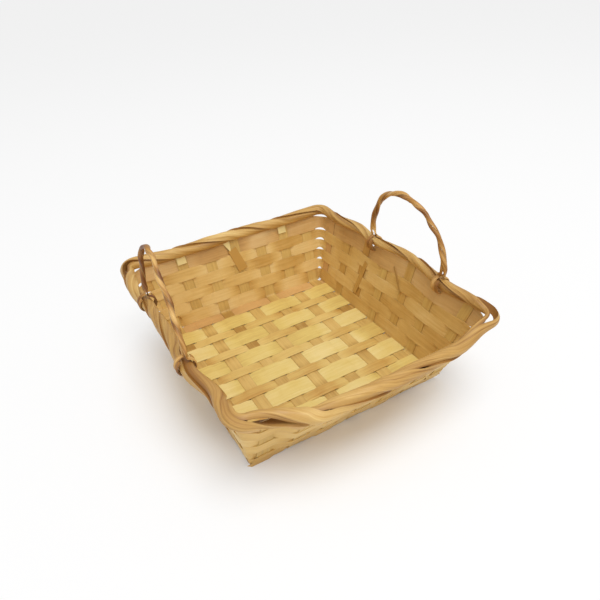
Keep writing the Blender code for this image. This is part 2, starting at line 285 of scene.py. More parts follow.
def settled(point, held=True):
    """A point of the new basket, moved to where its own spring and use have drawn it."""
    share = max(0, (point.z - floor_level) / wall_rise)
    along = point.y / fanned(0, share)
    across = point.x / fanned(1, share)
    if held:
        along = held_flat(along, *wall_stakes[0])
        across = held_flat(across, *wall_stakes[1])
    across /= base_half_x
    along /= base_half_y
    right = between(right_sag_shares, across)
    front = between(left_sag_shares, across) * between(side_sag_shares, -along) * share
    reach = sag_reach * (1 - (1 - right_corner_share) * right)
    drop = sag_drop * (1 - right)
    corner = between(front_pull_shares, -across) * between(side_pull_shares, -along) * share
    moved = point - Vector((0, reach, drop)) * front + Vector((corner_pull * corner, 0, 0))
    for place, drawn, lift, fade in pulls:
        away = (point.xy - place).length / fade
        weight = exp(-away * away) * share ** pull_power
        moved.x += drawn * weight
        moved.z += lift * weight
    return moved + centring


def finished(piece, finish, body, node):
    """The piece gets its finish and slot, moves with its body and stands for its node, if any."""
    piece.data.materials.append(finish)
    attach(piece, body)
    if node:
        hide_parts(node)


def run_along(points, closed=False):
    """How far along a path each of its points lies, and its whole length last if it is closed."""
    run = [0]
    for before, after in zip(points, points[1:] + points[:1] if closed else points[1:]):
        run.append(run[-1] + (after - before).length)
    return run


def carried_grid(name, lengths, rows, corner):
    """A grid carried along a piece's path, where corner says how each of its corners lies.

    The grid's own UV map becomes the piece's length and width in metres, and the attributes
    tone and rim say how light the bamboo is drawn, painted shade and sheen included, and how
    near a cut edge.
    """
    deselect_all()
    bpy.ops.mesh.primitive_grid_add(x_subdivisions=lengths, y_subdivisions=rows, size=1)
    piece = bpy.context.object
    piece.name = name
    mesh = piece.data
    mesh.name = name
    tone = mesh.attributes.new("tone", "FLOAT", "POINT")
    rim = mesh.attributes.new("rim", "FLOAT", "POINT")
    places = []
    for vertex in mesh.vertices:
        column = round((vertex.co.x + 0.5) * lengths)
        row = round((vertex.co.y + 0.5) * rows)
        vertex.co, shade, edge, place = corner(column, row)
        tone.data[vertex.index].value = shade
        rim.data[vertex.index].value = edge
        places.append(place)
    uv = mesh.uv_layers.active.data
    for loop in mesh.loops:
        uv[loop.index].uv = places[loop.vertex_index]
    return piece


def weld_seams(cap_ends=False, face_outwards=True):
    """Joins the corners that meet in the new piece, closes its ends and turns its faces out."""
    bpy.ops.object.mode_set(mode="EDIT")
    bpy.ops.mesh.select_all(action="SELECT")
    bpy.ops.mesh.remove_doubles(threshold=weld_distance)
    if cap_ends:
        bpy.ops.mesh.select_all(action="DESELECT")
        bpy.ops.mesh.select_non_manifold()
        bpy.ops.mesh.edge_face_add()
        bpy.ops.mesh.select_all(action="SELECT")
    if face_outwards:
        bpy.ops.mesh.normals_make_consistent(inside=False)
    bpy.ops.object.mode_set(mode="OBJECT")


def laid_strip(name, centres, faces, widths, tones, closed=False, crown=splint_crown,
               edges=shaded_edge_shares):
    """A flat strip of bamboo: a grid carried along its path, then given its thickness."""
    lip = min(splint_lip / (min(widths) / 2), widest_lip)
    across = [-1, lip - 1, -middle_share, middle_share, 1 - lip, 1]
    count = len(centres)
    run = run_along(centres, closed)
    begin = maker.uniform(0, grain_run)
    beside = maker.uniform(0, grain_side)

    def corner(column, row):
        """The point, tone and edge of a corner, and its place along and across the strip."""
        index = column % count
        before = centres[index - 1] if closed or index else centres[0]
        after = centres[(index + 1) % count] if closed or index < count - 1 else centres[-1]
        face = faces[index].normalized()
        side = face.cross(after - before).normalized()
        share = across[row]
        aside = share * widths[index] / 2
        point = centres[index] + side * aside - face * (crown * share * share)
        edge = {-1: edges[0], 1: edges[1]}.get(share, 0)
        return settled(point), tones[index], edge, (run[column] + begin, aside + beside)

    strip = carried_grid(name, len(run) - 1, len(across) - 1, corner)
    if closed:
        weld_seams(face_outwards=False)
    thick = strip.modifiers.new("thickness", "SOLIDIFY")
    thick.thickness = shaved_thickness
    thick.offset = 0
    thick.use_even_offset = True
    bpy.ops.object.modifier_apply(modifier=thick.name)
    rounded = strip.modifiers.new("worn edges", "BEVEL")
    rounded.width = edge_round
    rounded.segments = 1
    rounded.angle_limit = edge_angle
    bpy.ops.object.modifier_apply(modifier=rounded.name)
    bpy.ops.object.shade_smooth_by_angle(angle=smooth_angle)
    return strip


# What shows on split bamboo: how far each mark runs along and across the fibres, and how
# finely it is broken up; where a pore begins and is whole, and where the painted edge line
# (shade or highlight, with wear) is broken by the fibres and where whole; and the gloss.
fibre_marks = (0.035, 0.00045, 3.0)
band_marks = (0.06, 0.0019, 1.0)
stain_marks = (0.022, 0.009, 2.0)
pore_marks = (0.0028, 0.00016, 1.0)
mark_roughness = 0.6
pore_limits = (0.64, 0.74)
pore_darkness = 0.45
edge_breakup_limits = (0.35, 0.7)
least_edge_breakup = 0.35
edge_power = 2.2
gloss_limits = (0.3, 0.7)
gloss_roughness = (0.36, 0.56)
fibre_ridge = 0.6
band_ridge = 0.4
ridge_strength = 0.55
bamboo_shine = 0.42


def speckle(tree, place, marks):
    """Noise drawn out along the fibres."""
    lengthways, crossways, detail = marks
    stretched = linked(tree, "ShaderNodeMapping", {"Vector": place,
                       "Scale": (1 / lengthways, 1 / crossways, 1)})
    return linked(tree, "ShaderNodeTexNoise", {"Vector": stretched.outputs[0], "Scale": 1.0,
                  "Detail": detail, "Roughness": mark_roughness}).outputs[0]


def swung(tree, noise, strength):
    """Noise that swings round zero, as far as its strength lets it."""
    return maths(tree, "MULTIPLY", maths(tree, "SUBTRACT", noise, 0.5), strength)


def blended(tree, share, first, second):
    """Two colours mixed by a share."""
    return linked(tree, "ShaderNodeMix", {0: share, 6: first, 7: second},
                  data_type="RGBA").outputs[2]


def fibre_group():
    """Split bamboo: long fibres, broader bands, soft stains, short dark pores and an edge line that
    paints shade, or a highlight where the edge colour is pale, along with wear.
    """
    tree = bpy.data.node_groups.new("bamboo_fibre", "ShaderNodeTree")
    sockets = {
        ("NodeSocketVector", "INPUT"): ("Place",),
        ("NodeSocketColor", "INPUT"): ("Light", "Middle", "Dark", "Edge"),
        ("NodeSocketFloat", "INPUT"): ("Tone", "Rim", "Fibres", "Stains", "Edge shading and wear"),
        ("NodeSocketColor", "OUTPUT"): ("Colour",),
        ("NodeSocketFloat", "OUTPUT"): ("Roughness", "Height"),
    }
    for (kind, way), names in sockets.items():
        for name in names:
            tree.interface.new_socket(name, in_out=way, socket_type=kind)
    given = tree.nodes.new("NodeGroupInput").outputs
    fibres = speckle(tree, given["Place"], fibre_marks)
    bands = speckle(tree, given["Place"], band_marks)
    stains = speckle(tree, given["Place"], stain_marks)
    pores = speckle(tree, given["Place"], pore_marks)
    tone = maths(tree, "MULTIPLY_ADD", given["Tone"], 0.5, 0.5)
    fine = maths(tree, "ADD", tone, swung(tree, fibres, given["Fibres"]))
    broad = maths(tree, "ADD", swung(tree, bands, given["Fibres"]),
                  swung(tree, stains, given["Stains"]))
    total = maths(tree, "ADD", fine, broad)
    lower = maths(tree, "MULTIPLY", total, 2.0, clamp=True)
    upper = maths(tree, "MULTIPLY", maths(tree, "SUBTRACT", total, 0.5), 2.0, clamp=True)
    colour = blended(tree, lower, given["Dark"], given["Middle"])
    colour = blended(tree, upper, colour, given["Light"])
    colour = blended(tree, ranged(tree, pores, *pore_limits, 0, pore_darkness), colour,
                     given["Dark"])
    # The edge line is painted shade along the strips' edges, or a painted highlight where the edge
    # colour is pale, mixed with wear; the fibres break it up.
    edge_breakup = ranged(tree, fibres, *edge_breakup_limits, least_edge_breakup, 1)
    near_edge = maths(tree, "POWER", given["Rim"], edge_power)
    edge_mark = maths(tree, "MULTIPLY", maths(tree, "MULTIPLY", near_edge, edge_breakup),
                 given["Edge shading and wear"], clamp=True)
    ridges = maths(tree, "ADD", maths(tree, "MULTIPLY", fibres, fibre_ridge),
                   maths(tree, "MULTIPLY", bands, band_ridge))
    linked(tree, "NodeGroupOutput", {"Colour": blended(tree, edge_mark, colour, given["Edge"]),
           "Roughness": ranged(tree, bands, *gloss_limits, *gloss_roughness), "Height": ridges})
    return tree


def tint(red, green, blue):
    """A colour as a screen shows it, from 0 to 255, as the light it stands for."""
    parts = []
    for part in (red, green, blue):
        share = part / 255
        parts.append(share / 12.92 if share <= 0.04045 else ((share + 0.055) / 1.055) ** 2.4)
    return (*parts, 1)


bamboo_fibre = fibre_group()


def bamboo_finish(name, light, middle, dark, edge, fibres=0.5, stains=0.5, edge_shading_and_wear=0.6,
                  grain=0.00012, coarseness=1):
    """A bamboo finish: its colours from light to dark, its edge colour and strength, which paint
    shade lines and wear along its edges or a highlight where pale, and how strong its grain is.
    """
    material = bpy.data.materials.new(name)
    material.use_nodes = True
    tree = material.node_tree
    laid = linked(tree, "ShaderNodeUVMap", {}, uv_map="UVMap")
    place = linked(tree, "ShaderNodeMapping", {"Vector": laid.outputs[0],
                   "Scale": (1 / coarseness, 1 / coarseness, 1)})
    tone = linked(tree, "ShaderNodeAttribute", {}, attribute_name="tone")
    rim = linked(tree, "ShaderNodeAttribute", {}, attribute_name="rim")
    group = linked(tree, "ShaderNodeGroup", {
        "Place": place.outputs[0], "Tone": tone.outputs["Fac"], "Rim": rim.outputs["Fac"],
        "Light": tint(*light), "Middle": tint(*middle), "Dark": tint(*dark), "Edge": tint(*edge),
        "Fibres": fibres, "Stains": stains, "Edge shading and wear": edge_shading_and_wear}, node_tree=bamboo_fibre)
    bump = linked(tree, "ShaderNodeBump", {"Strength": ridge_strength, "Distance": grain,
                  "Height": group.outputs["Height"]})
    plug_in(tree, tree.nodes["Principled BSDF"], {
        "Base Color": group.outputs["Colour"], "Roughness": group.outputs["Roughness"],
        "Normal": bump.outputs[0], "Specular IOR Level": bamboo_shine})
    return material


def standing_half(level, side, place, tip):
    """The folded-up half of a splint: reach, along, height and turn at each point."""
    flare = wall_flare[side]
    bend = atan2(wall_rise, flare)
    corner = wall_reach[side] + (level - floor_level) * flare / wall_rise
    start = corner - fold_radius * tan(bend / 2)
    points = []
    for step in range(fold_steps + 1):
        turn = bend * step / fold_steps
        points.append((start + fold_radius * sin(turn), level + fold_radius * (1 - cos(turn)), turn))
    first_reach, first_height = points[-1][:2]
    top_share = 1 + tip / hypot(flare, wall_rise)
    last_reach = wall_reach[side] + flare * top_share
    last_height = floor_level + wall_rise * top_share
    for step in range(1, wall_steps + 1):
        way = step / wall_steps
        points.append((first_reach + (last_reach - first_reach) * way,
                       first_height + (last_height - first_height) * way, bend))
    path = []
    for reach, height, turn in points:
        share = max(0, (height - floor_level) / wall_rise)
        path.append((reach, place * fanned(side, share), height, turn))
    return path


def folded_end(half_path, side, end):
    """Centres and faces of a splint's end: from its tip where end is -1, to its tip where 1."""
    centres = []
    faces = []
    for reach, along, height, turn in half_path[::end]:
        centres.append(wall_out[1 - side] * along + wall_out[side] * (end * reach) + up * height)
        faces.append(up * cos(turn) - wall_out[side] * (end * sin(turn)))
    return centres, faces


def drift(count, amount, seed, waves=wander_waves):
    """A slow wander along a piece, as a list of numbers."""
    source = random.Random(seed)
    parts = [(source.uniform(slowest_wave, waves), source.uniform(0, 2 * pi))
             for _ in range(wander_parts)]
    values = []
    for index in range(count):
        way = index / max(count - 1, 1)
        values.append(amount * sum(sin(2 * pi * turns * way + phase) for turns, phase in parts) / 2)
    return values


def tone_between(tones, place):
    """The tone at a place between two crossings."""
    first = min(int(floor(place)), len(tones) - 2)
    return tones[first] + (tones[first + 1] - tones[first]) * eased(place - first)


# Its dark edge colour paints shade lines along the splints' edges, along with wear.
ochre_bamboo = bamboo_finish("ochre_bamboo", (228, 196, 124), (210, 174, 99), (172, 130, 62),
                             (112, 76, 30))
for number in range(1, column_count + 1):
    place = (number - (column_count + 1) / 2) * column_pitch
    half_path = standing_half(floor_level, 1, place, short_tip if number % 2 else stake_tip)
    inner = half_path[0][0]
    front_centres, front_faces = folded_end(half_path, 1, -1)
    back_centres, back_faces = folded_end(half_path, 1, 1)
    centres = [Vector((place, -inner + 2 * inner * station / floor_stations, floor_level))
               for station in range(1, floor_stations)]
    faces = front_faces + [up] * len(centres) + back_faces
    centres = front_centres + centres + back_centres
    widths = [column_width + value for value in drift(len(centres), wander, number)]
    crossing_tones = [maker.uniform(-splint_variety, splint_variety)
                      for _ in range(2 * row_count + 1)]
    for crossing in range(1, 2 * row_count, 2):
        crossing_tones[crossing] -= maker.choice(patch_shades)
    tones = []
    for centre in centres:
        crossing = min(max(centre.y / row_pitch * 2 + row_count, 0), 2 * row_count)
        tones.append(tone_between(crossing_tones, crossing))
    splint = laid_strip(f"laid_front_back_splint_{number}", centres, faces, widths, tones)
    finished(splint, ochre_bamboo, "basket", f"front_back_splint_{number}")

# The narrow splints across: seven more of tan bamboo, woven through the first ones, under the
# two outer ones and every other one between, and folded up into the side walls. The foremost
# and the hindmost one are wider in the floor, where they reach out to the walls.

ramp_share = 0.55
ramp_steps = 3
stake_steps = 3
edge_overlap = 0.0003
edge_ease = 0.00017
outer_row_spread = 0.0027
outer_row_reach = 0.082
outer_row_fade = 0.012
cross_tones = (-0.7, 0.4)
# Painted shade on the ends that stand in the right wall, like that on its weavers.
right_end_painted_shade = 0.45
cross_seed = 100


def crossing_ways():
    """Shares of the way between two crossings, close together where the splint slopes."""
    slope = [ramp_share / 2 * step / ramp_steps for step in range(1, ramp_steps + 1)]
    return slope + [0.5] + [1 - way for way in reversed(slope)]


def sloped(way):
    """From 1 at a crossing to 0 between two, and to -1 at the next, level in the middle."""
    if way > 0.5:
        return -sloped(1 - way)
    return 1 - eased(way / (ramp_share / 2))


def woven_across(first_over, cut_at=None):
    """Places across the floor: the height there, the crossing and how far its edges spread."""
    reach = column_width / 2 + tuck_margin
    stations = []
    for column in range(column_count):
        centre = (column - (column_count - 1) / 2) * column_pitch
        over = 1 if (column % 2 == 0) == first_over else -1
        for step in range(stake_steps + 1):
            across = centre - reach + 2 * reach * step / stake_steps
            stations.append((across, floor_level + layer_step * over, column, 1))
        for way in crossing_ways() if column < column_count - 1 else ():
            across = centre + reach + (column_pitch - 2 * reach) * way
            height = floor_level + layer_step * over * sloped(way)
            stations.append((across, height, column + way, abs(sloped(way))))
    if cut_at:
        stations[0] = (-cut_at, *stations[0][1:])
        stations[-1] = (cut_at, *stations[-1][1:])
    return stations


def laid_across(place, stations, crossing_tones, outwards=0):
    """Centres, tones and spread of a strip that lies across the floor at its place."""
    centres = []
    tones = []
    spread = []
    for across, height, crossing, apart in stations:
        fade = eased((outer_row_reach - abs(across)) / outer_row_fade)
        aside = outwards * fade * outer_row_spread / 2
        centres.append(Vector((across, place + aside, height)))
        tones.append(tone_between(crossing_tones, crossing))
        spread.append(edge_ease + edge_overlap * apart + abs(aside))
    return centres, tones, spread


def spread_widths(width, spread, seed):
    """A strip's width all along it, with what its edges spread and a slow wander."""
    return [width + 2 * edge + value
            for edge, value in zip(spread, drift(len(spread), wander, seed))]


# Their dark edge colours paint shade lines along the splints' edges, along with wear.
tan_bamboo = bamboo_finish("tan_bamboo", (232, 202, 130), (216, 183, 105), (190, 141, 66),
                           (112, 76, 30))
rose_bamboo = bamboo_finish("rose_bamboo", (230, 194, 132), (212, 168, 104), (192, 146, 86),
                            (116, 74, 34))
for number in range(1, row_count + 1):
    place = (number - (row_count + 1) / 2) * row_pitch
    half_path = standing_half(low_level, 0, place, stake_tip if number % 2 else short_tip)
    crossing_tones = [maker.uniform(*cross_tones) for _ in range(column_count)]
    end_count = len(half_path)
    left_centres, left_faces = folded_end(half_path, 0, -1)
    right_centres, right_faces = folded_end(half_path, 0, 1)
    outwards = {1: -1, row_count: 1}.get(number, 0)
    centres, tones, spread = laid_across(place, woven_across(False), crossing_tones, outwards)
    faces = left_faces + [up] * len(centres) + right_faces
    centres = left_centres + centres + right_centres
    # The ends standing in the right wall are darkened by painted shade.
    tones = ([crossing_tones[0]] * end_count + tones
             + [crossing_tones[-1] - right_end_painted_shade] * end_count)
    spread = [0] * end_count + spread + [0] * end_count
    widths = spread_widths(row_width, spread, cross_seed + number)
    splint = laid_strip(f"laid_cross_splint_{number}", centres, faces, widths, tones)
    finish = rose_bamboo if number == row_count else tan_bamboo
    finished(splint, finish, "basket", f"cross_splint_{number}")

# The wide slats: six broad, bright splints that fill the floor between the narrow ones, over
# where those go under. They are cut off at the side walls and held by the weave alone.

slat_gap = 0.0004
slat_overhang = 0.003
slat_width = row_pitch - row_width - 2 * slat_gap
slat_crown = 0.00016
slat_reach = (column_count - 1) / 2 * column_pitch + column_width / 2 + slat_overhang
slat_tones = (-0.45, 0.65)
slat_seed = 200

# Its dark edge colour paints shade lines along the slats' edges, along with wear.
straw_bamboo = bamboo_finish("straw_bamboo", (234, 212, 146), (222, 195, 112), (198, 162, 84),
                             (104, 70, 26), stains=0.6, edge_shading_and_wear=0.8)
for number in range(1, row_count):
    place = (number - row_count / 2) * row_pitch
    crossing_tones = [maker.uniform(*slat_tones) for _ in range(column_count)]
    stations = woven_across(True, slat_reach)
    centres, tones, spread = laid_across(place, stations, crossing_tones)
    widths = spread_widths(slat_width, spread, slat_seed + number)
    slat = laid_strip(f"laid_floor_slat_{number}", centres, [up] * len(centres), widths, tones,
                      crown=slat_crown)
    finished(slat, straw_bamboo, "basket", f"floor_slat_{number}")

# The wall weavers: six bamboo splints woven round the walls, in front of one standing end and
# behind the next, sharply bent and a little pinched at the corners. The lowest one reaches
# down over the fold, and the top one up under the border.

corner_share = 0.6
weaver_count = 6
weave_start = 0.0018
border_radius = 0.0066
wrap_clearance = 0.0005
wrap_thickness = 0.0011
wrap_inner = border_radius + wrap_clearance
side_slope = hypot(side_flare, wall_rise)
border_room = wrap_inner + wrap_thickness + clearance
weaver_pitch = (side_slope - border_room - weave_start) / weaver_count
# How far each weaver's floats differ in tone. The wider spread off the right wall also paints pale
# sheen on some floats, and painted shade darkens the right wall's weavers.
weaver_variety_and_sheen = 0.7
right_wall_variety = 0.45
right_wall_painted_shade = 0.15
weaver_overlap = 0.0006
first_weaver_drop = 0.002
first_tuck_share = 0.5
last_weaver_rise = 0.0034
# The top weaver's edge line is on its upper edge only, where its pale edge colour paints a
# highlight.
last_weaver_edges = (0, 1)
corner_pinch = 0.22
corner_steps = 12

# The places of the handles' feet, where the top weaver leaves room for what is wound there.
right_handle_shift = 0.0084
right_handle_narrowing = 0.0022
handle_bays = 3
rim_row_pitch = row_pitch * fanned(0, 1)
right_centre = right_handle_shift - rim_row_pitch
handle_half_span = handle_bays / 2 * rim_row_pitch
right_half_span = handle_half_span - right_handle_narrowing
handle_feet = [(1, right_centre - right_half_span), (1, right_centre + right_half_span),
               (-1, -handle_half_span), (-1, handle_half_span)]
foot_room = 0.0065
foot_squareness = 4

# How thick the border is at every second standing end, as a share of its full thickness: it
# is pressed flat along the right wall, where the top weaver stands higher to meet it.
border_girths = [0.76, 0.74, 0.74, 0.84, 0.95, 1, 1, 0.95, 0.92, 0.92, 0.95, 1, 1, 0.95]

# The standing ends are counted round the basket, and these are the last ones of each wall.
stake_total = 2 * row_count + 2 * column_count
corner_stakes = (row_count - 1, row_count + column_count - 1, 2 * row_count + column_count - 1,
                 stake_total - 1)


def wall_sizes(side, share):
    """Reach of a wall and half its run at a share of the wall's height."""
    halves = [reach + flare * share for reach, flare in zip(wall_reach, wall_flare)]
    return halves[side % 2], halves[(side + 1) % 2]


def stake_places(side, share):
    """Places of the standing ends along one wall, and half their width."""
    count, pitch, width = wall_stakes[side % 2]
    spread = fanned(side, share)
    return [(index - (count - 1) / 2) * pitch * spread for index in range(count)], width / 2


def corner_radius(share):
    """Radius of the basket's corners, which leaves the outermost standing ends on flat wall."""
    rooms = []
    for side in range(2):
        places, half_width = stake_places(side, share)
        rooms.append(wall_sizes(side, share)[1] - places[-1] - half_width)
    return (min(rooms) - tuck_margin) * corner_share


def ring_at(share, run):
    """Point, direction, face and slope of the wall at a share of its height, after a run."""
    radius = corner_radius(share)
    arc = radius * pi / 2
    side = 0
    reach, half_along = wall_sizes(side, share)
    while run > 2 * (half_along - radius) + arc:
        run -= 2 * (half_along - radius) + arc
        side = (side + 1) % 4
        reach, half_along = wall_sizes(side, share)
    out = wall_out[side]
    along = wall_out[(side + 1) % 4]
    straight = 2 * (half_along - radius)
    height = up * (floor_level + wall_rise * share)
    angle = max(0, (run - straight) / radius)
    radial = out * cos(angle) + along * sin(angle)
    tangent = along * cos(angle) - out * sin(angle)
    if run <= straight:
        point = out * reach + along * (run - straight / 2) + height
    else:
        point = out * (reach - radius) + along * (half_along - radius) + radial * radius + height
    flare = wall_flare[side % 2] * cos(angle) ** 2 + wall_flare[(side + 1) % 2] * sin(angle) ** 2
    face = tangent.cross(radial * flare + up * wall_rise).normalized()
    return point, tangent, face, face.cross(tangent)


def stake_runs(share, every=1):
    """Along the ring: where a standing end begins and ends and the next begins; its length."""
    radius = corner_radius(share)
    start = 0
    runs = []
    for side in range(4):
        half_along = wall_sizes(side, share)[1]
        places, half_width = stake_places(side, share)
        middle = start + half_along - radius
        for place in places:
            runs.append((middle + place - half_width, middle + place + half_width))
        start += 2 * (half_along - radius) + radius * pi / 2
    runs = runs[::every]
    following = [begin for begin, end in runs[1:]] + [runs[0][0] + start]
    return [(begin, end, after) for (begin, end), after in zip(runs, following)], start


def weaver_stations(share):
    """Stations of a weaver: its run, the number of the standing end and the way to the next."""
    runs, total = stake_runs(share)
    corner_ways = [step / corner_steps for step in range(1, corner_steps)]
    stations = []
    for index, (begin, end, following) in enumerate(runs):
        for step in range(stake_steps + 1):
            run = begin - tuck_margin + (end - begin + 2 * tuck_margin) * step / stake_steps
            stations.append((run % total, index, 0))
        for way in corner_ways if index in corner_stakes else crossing_ways():
            run = end + tuck_margin + (following - end - 2 * tuck_margin) * way
            stations.append((run % total, index, way))
    return stations


def round_the_rim(values, changes):
    """The value at a place round the rim, between the two standing ends beside it."""
    first = int(floor(changes)) % len(values)
    second = (first + 1) % len(values)
    return values[first] + (values[second] - values[first]) * (changes - floor(changes))


def near_foot(point):
    """1 where a handle's foot is wound round the border over this point, and 0 away from it."""
    near = [exp(-((point.y - place) / foot_room) ** foot_squareness)
            for side, place in handle_feet if point.x * side > base_half_x]
    return max(near, default=0)


# The honey finish's edge colour paints faint shade lines between the weavers, along with wear.
honey_bamboo = bamboo_finish("honey_bamboo", (236, 206, 142), (218, 180, 106), (192, 146, 70),
                             (168, 122, 58), edge_shading_and_wear=0.45)
# The umber finish's pale edge colour paints a highlight along the top weaver's upper edge.
umber_bamboo = bamboo_finish("umber_bamboo", (224, 190, 132), (208, 166, 102), (176, 130, 70),
                             (240, 222, 180), edge_shading_and_wear=0.9)
for number in range(1, weaver_count + 1):
    share = (weave_start + (number - 0.5) * weaver_pitch) / side_slope
    crossing_tones = []
    for index in range(stake_total + 1):
        on_the_right = index < row_count
        variety = right_wall_variety if on_the_right else weaver_variety_and_sheen
        # Random tone at each float, with painted sheen off the right wall and painted shade on it.
        crossing_tones.append(maker.uniform(-variety, variety) - right_wall_painted_shade * on_the_right)
    crossing_tones[-1] = crossing_tones[0]
    centres = []
    faces = []
    tones = []
    widths = []
    for run, index, way in weaver_stations(share):
        point, along, face, slope = ring_at(share, run)
        side = (1 if (index + number) % 2 == 0 else -1) * sloped(way)
        rise = drop = weaver_pitch / 2 + weaver_overlap * (1 + abs(side)) / 2
        if number == 1 and index not in corner_stakes:
            drop += first_weaver_drop * min(1, first_tuck_share + 1 + side)
        if number == weaver_count:
            rise += last_weaver_rise * (1 - near_foot(point))
            rise += border_radius * (1 - round_the_rim(border_girths, (index + way) / 2))
        if index in corner_stakes:
            pinch = 1 - corner_pinch * sin(pi * way) ** 2
            rise *= pinch
            drop *= pinch
        centres.append(point + face * (layer_step * side) + slope * ((rise - drop) / 2))
        faces.append(face)
        tones.append(tone_between(crossing_tones, index + way))
        widths.append(rise + drop)
    edges = last_weaver_edges if number == weaver_count else shaded_edge_shares
    finish = umber_bamboo if number == weaver_count else honey_bamboo
    weaver = laid_strip(f"laid_wall_weaver_{number}", centres, faces, widths, tones, closed=True,
                        edges=edges)
    finished(weaver, finish, "basket", f"wall_weaver_{number}")

# Loose ends: a broken splint that hangs out of the back wall with its torn corner, two pale
# tips of splints tucked in there, a narrow brown one tucked in at the right wall and a thin
# torn fibre. All lie on the inside of their wall.

loose_lift = 0.0013
loose_steps = 8

# Each one's wall; its place along the wall, its share of the wall's height and its width where
# it begins and where it ends; its shade and its finish.
loose_ends = {
    "loose_broken_splint": (1, (-0.0035, 0.82, 0.0095), (0.0035, 0.5, 0.0105), -1.5, honey_bamboo),
    "loose_torn_corner": (1, (-0.0088, 0.98, 0.0095), (-0.0055, 0.8, 0.0015), 1.9, straw_bamboo),
    "loose_pale_tip_left": (1, (-0.0568, 0.92, 0.0092), (-0.0566, 0.82, 0.0095), 1.6, straw_bamboo),
    "loose_pale_tip_right": (1, (0.0555, 0.94, 0.0088), (0.0553, 0.83, 0.0092), 1.6, straw_bamboo),
    "loose_tucked_splint": (0, (0.0255, 0.68, 0.005), (0.0325, 0.2, 0.0055), -0.9, honey_bamboo),
    "loose_torn_fibre": (0, (-0.0121, 0.82, 0.001), (-0.0293, 0.56, 0.0013), -2, ochre_bamboo),
}

for name, (side, first, last, shade, finish) in loose_ends.items():
    face = (wall_out[side] * wall_rise - up * wall_flare[side]).normalized()
    centres = []
    widths = []
    for step in range(loose_steps + 1):
        place, share, width = [one + (other - one) * step / loose_steps
                               for one, other in zip(first, last)]
        centres.append(wall_out[side] * wall_sizes(side, share)[0] + wall_out[1 - side] * place
                       + up * (floor_level + wall_rise * share) - face * loose_lift)
        widths.append(width)
    strip = laid_strip(name, centres, [-face] * len(centres), widths, [shade] * len(centres))
    finished(strip, finish, "basket", None)

# The border: two broad soft strips of bamboo, folded half round and laid round each other.
# Every second standing end passes between them, and there they change places. One rim of each
# strip lies over the other strip and the other rim is tucked in under it.

border_around = 30
border_inside = 6
border_rows = border_around + border_inside + 1
border_between = 28
border_at_corner = 40
border_at_stake = 4
border_at_end = 0.14
border_thickness = 0.0007
border_over = 0.0009
border_over_power = 6
border_under = 0.0009
border_under_power = 5
border_tuck = 0.2
border_notch = 0.2
border_notch_power = 3
border_swell = 0.07
swell_waves = 14
border_wander = 0.0006
border_waves = 9
fewest_waves = 2
ring_parts = 5
border_hollow = 0.0005
border_variety = 0.5
# Painted shade: each strip darkens towards its rim that is tucked in under the other strip.
painted_tuck_shade = 1.2
painted_tuck_shade_power = 6
# Painted shade on the hollow inside of each strip.
painted_hollow_shade = -0.9
fold_count = 4
fold_flatness = 0.75
fold_drift = 0.16
fold_waves = 16
split_depth = 0.00035
split_width = 0.08
# Painted shade in the split grooves.
painted_split_shade = 0.55
first_split_fold = 1
second_split_fold = 3
wander_seeds = (301, 302)
swell_seed = 310
fold_seed = 320
fold_seed_step = 10

# How far ahead of the standing ends the strips change places, from end to end round the
# border; where they have parted: the place in changes, how far that reaches and how wide; and
# where each has come loose: the place, its reach, how far out, how far up and how much thinner.
changes_ahead = [0.3, 0.35, 0.35, 0.2, -0.08, 0.17, 0.1, 0.2, 0.45, 0.8, 0.6, 0.8, 0.6, 0.5]
partings = [(10.57, 0.22, 0.34), (11.2, 0.19, 0.2), (12.55, 0.19, 0.2), (1.45, 0.2, 0.1),
            (6.8, 0.25, 0.5)]
loose_parts = {
    1: [(10.57, 0.38, 0.001, -0.0042, 0.1), (13.66, 0.26, -0.0018, 0, 0.5)],
    2: [(10.57, 0.38, -0.0003, -0.002, 0.15), (13.66, 0.26, 0.0036, 0, 0.3)],
}


def border_stations():
    """Stations round the border: the run, and how many times the strips have changed places."""
    runs, total = stake_runs(1, every=2)
    stations = []
    for index, (begin, end, following) in enumerate(runs):
        at_corner = any(stake in corner_stakes for stake in (2 * index, 2 * index + 1))
        steps = border_at_corner if at_corner else border_between
        for step in range(border_at_stake + 1):
            way = step / border_at_stake
            stations.append(((begin + (end - begin) * way) % total,
                             index + border_at_end * (2 * way - 1)))
        for step in range(1, steps):
            way = step / steps
            stations.append(((end + (following - end) * way) % total,
                             index + border_at_end + way * (1 - 2 * border_at_end)))
    return stations


def settled_frame(point, along, slope):
    """A point of the rim once it has settled, with its run, its face and its slope."""
    moved = settled(point, held=False)
    step = column_width / 2
    along = settled(point + along * step, held=False) - settled(point - along * step, held=False)
    along.normalize()
    slope = settled(point + slope * clearance, held=False) - moved
    face = along.cross(slope).normalized()
    return moved, along, face, face.cross(along)


def near(changes, place, reach):
    """1 at a place round the border and 0 further from it than its reach, on both sides."""
    around = len(changes_ahead)
    away = abs((changes - place + around / 2) % around - around / 2)
    return 1 - eased(away / reach)


def round_drift(count, amount, seed, waves):
    """A slow wander round a closed piece, as a list of numbers that ends where it began."""
    source = random.Random(seed)
    parts = [(source.randint(fewest_waves, waves), source.uniform(0, 2 * pi))
             for _ in range(ring_parts)]
    return [amount * sum(sin(2 * pi * turns * index / count + phase) for turns, phase in parts)
            / (ring_parts / 2) for index in range(count)]


def folded(angle, folds):
    """The radius of a strip that lies flat between its folds, as a share of a round one's."""
    for first, second in zip(folds, folds[1:]):
        if first <= angle <= second:
            half = (second - first) / 2
            flat = cos(half) / cos(angle - (first + second) / 2)
            return 1 - fold_flatness * (1 - flat)
    return 1


